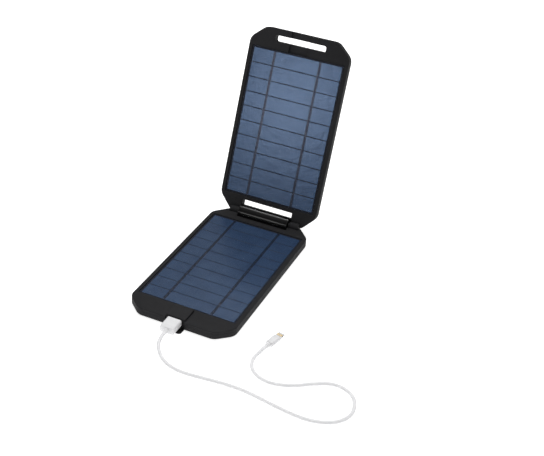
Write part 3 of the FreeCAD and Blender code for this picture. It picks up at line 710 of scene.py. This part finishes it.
def make_grip(name, width, height, length, corner, edge):
    """Moulded grip along +y from the origin, rounded in section and at its ends."""
    mesh = bmesh.new()
    section = rectangle(-width / 2, width / 2, -height / 2, height / 2, corner)
    add_solid(mesh, [stack(section, edge_rounding(-length, 0, edge, edge, 5))])
    grip = to_object(name, mesh)
    grip.data.transform(Matrix.Rotation(math.pi / 2, 4, "X"))
    return grip


def make_sleeve(name, start, end, root, tip, node):
    """Tapered strain relief with two shallow rings."""
    length = (end - start).length
    rings = [(0.0, root - 0.25), (0.25, root)]
    for k in (0.35, 0.6):
        radius = root + (tip - root) * k
        rings += [(length * k - 0.22, radius), (length * k, radius - 0.18),
                  (length * k + 0.22, radius - 0.02)]
    rings += [(length - 0.2, tip), (length, tip - 0.15)]
    mesh = bmesh.new()
    add_lathe(mesh, rings, Vector(), 48)
    turn = (end - start).to_track_quat("X", "Z").to_matrix().to_4x4()
    return place(to_object(name, mesh), Matrix.Translation(start * MM) @ turn, "lead_jacket",
                 "lead", node)


def make_cord():
    """Cord as one smooth spline through its route."""
    data = bpy.data.curves.new("cord", "CURVE")
    data.dimensions = "3D"
    data.bevel_depth = CORD_DIAMETER / 2
    data.bevel_resolution = 6
    data.use_fill_caps = True
    data.resolution_u = 12
    spline = data.splines.new("NURBS")
    spline.points.add(len(CORD_ROUTE) - 1)
    for point, spot in zip(spline.points, CORD_ROUTE):
        point.co = (*(value * MM for value in spot), 1)
    spline.order_u = 3
    spline.use_endpoint_u = True
    cord = bpy.data.objects.new("cord", data)
    bpy.context.scene.collection.objects.link(cord)
    return declare(cord, "lead_jacket", "lead", "lead_cord")


def make_lead():
    """Cord, its two plugs' grips and its strain reliefs."""
    cord = make_cord()
    low, high = (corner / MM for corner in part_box("usb_plug_grip"))
    size = high - low
    centre = (low + high) / 2
    usb_grip = make_grip("usb_grip", size.x, size.z, size.y, 1.9, 0.6)
    place(usb_grip, Matrix.Translation(Vector((centre.x, low.y, centre.z)) * MM), "lead_plastic",
          "lead", "usb_plug_grip")
    start, end = Vector(CORD_ROUTE[0]), Vector(CORD_ROUTE[-1])
    usb_sleeve = make_sleeve("usb_sleeve", Vector((start.x, low.y, start.z)), start, USB_ROOT,
                             SLEEVE_TIP, "usb_strain_relief")
    ahead = (end - Vector(CORD_ROUTE[-2])).normalized()
    root = end + ahead * PHONE_RELIEF
    phone_grip = make_grip("phone_grip", *PHONE_GRIP, 2.3, 0.8)
    turn = Matrix.Rotation(math.atan2(-ahead.x, ahead.y), 4, "Z")
    place(phone_grip, Matrix.Translation(root * MM) @ turn, "lead_plastic", "lead",
          "phone_plug_grip")
    phone_sleeve = make_sleeve("phone_sleeve", root, end, PHONE_ROOT, SLEEVE_TIP,
                               "phone_strain_relief")


# ---------------------------------------------------------------- stage

def make_floor():
    """Pale floor that glows a little, so that it stays white under soft light."""
    mesh = bmesh.new()
    bmesh.ops.create_grid(mesh, x_segments=1, y_segments=1, size=20.0)
    floor = to_object("floor", mesh)
    finish = Finish("floor", (0.80, 0.80, 0.80), 0.9, Emission_Strength=0.70)
    finish.shader.inputs["Emission Color"].default_value = (1, 1, 1, 1)
    finish.shader.inputs["Specular IOR Level"].default_value = 0.0
    floor.data.materials.append(finish.material)


def make_world():
    """Studio that is dim at the sides and bright overhead, with a pale backdrop."""
    world = bpy.data.worlds.new("studio")
    world.use_nodes = True
    nodes, links = world.node_tree.nodes, world.node_tree.links
    place_node = nodes.new("ShaderNodeTexCoord")
    split = nodes.new("ShaderNodeSeparateXYZ")
    ramp = nodes.new("ShaderNodeValToRGB")
    ramp.color_ramp.elements.new(0.6)
    for stop, value in zip(ramp.color_ramp.elements, (0.22, 0.28, 1.0)):
        stop.color = (value, value, value, 1)
    path = nodes.new("ShaderNodeLightPath")
    backdrop = nodes.new("ShaderNodeMix")
    backdrop.data_type = "RGBA"
    backdrop.inputs[7].default_value = (0.96, 0.96, 0.96, 1)
    links.new(place_node.outputs["Generated"], split.inputs[0])
    links.new(split.outputs["Z"], ramp.inputs["Fac"])
    links.new(path.outputs["Is Camera Ray"], backdrop.inputs[0])
    links.new(ramp.outputs["Color"], backdrop.inputs[6])
    links.new(backdrop.outputs[2], nodes["Background"].inputs["Color"])
    bpy.context.scene.world = world


LAMPS = [
    # name, place, aim, size across and along, power
    ("overhead", (0.1, 0.85, 1.85), (0.1, 0.0, 0.0), (1.8, 1.6), 17.0),
    ("lid_sheen", (-0.52, -1.33, 0.47), (0.0, 0.15, 0.13), (0.14, 0.28), 2.0),
    ("hinge_strip", (-0.43, 0.47, 1.2), (-0.43, 0.096, 0.01), (0.3, 0.03), 3.0),
]


def make_lamps():
    """Soft lamps: a wide one overhead, one at the front left and a thin strip."""
    for name, spot, aim, (width, depth), power in LAMPS:
        data = bpy.data.lights.new(name, "AREA")
        data.shape = "RECTANGLE"
        data.size, data.size_y = width, depth
        data.energy = power
        lamp = bpy.data.objects.new(name, data)
        turn = (Vector(aim) - Vector(spot)).to_track_quat("-Z", "Y")
        lamp.matrix_world = Matrix.Translation(spot) @ turn.to_matrix().to_4x4()
        bpy.context.scene.collection.objects.link(lamp)
    bpy.context.scene.view_settings.view_transform = "Standard"


# ---------------------------------------------------------------- assembly

make_camera()
make_lead()
for half_name in ("base", "lid"):
    make_shell(half_name)
    make_bezel(half_name)
    make_cells(half_name)
    make_ribbons(half_name)
    make_screws(half_name)
make_barrel()
make_arms()
make_dust_cover()
for part in frame["record"]["subparts"]:
    paint(frame["nodes"][part["node"]], part["material_slot"])
make_floor()
make_world()
make_lamps()
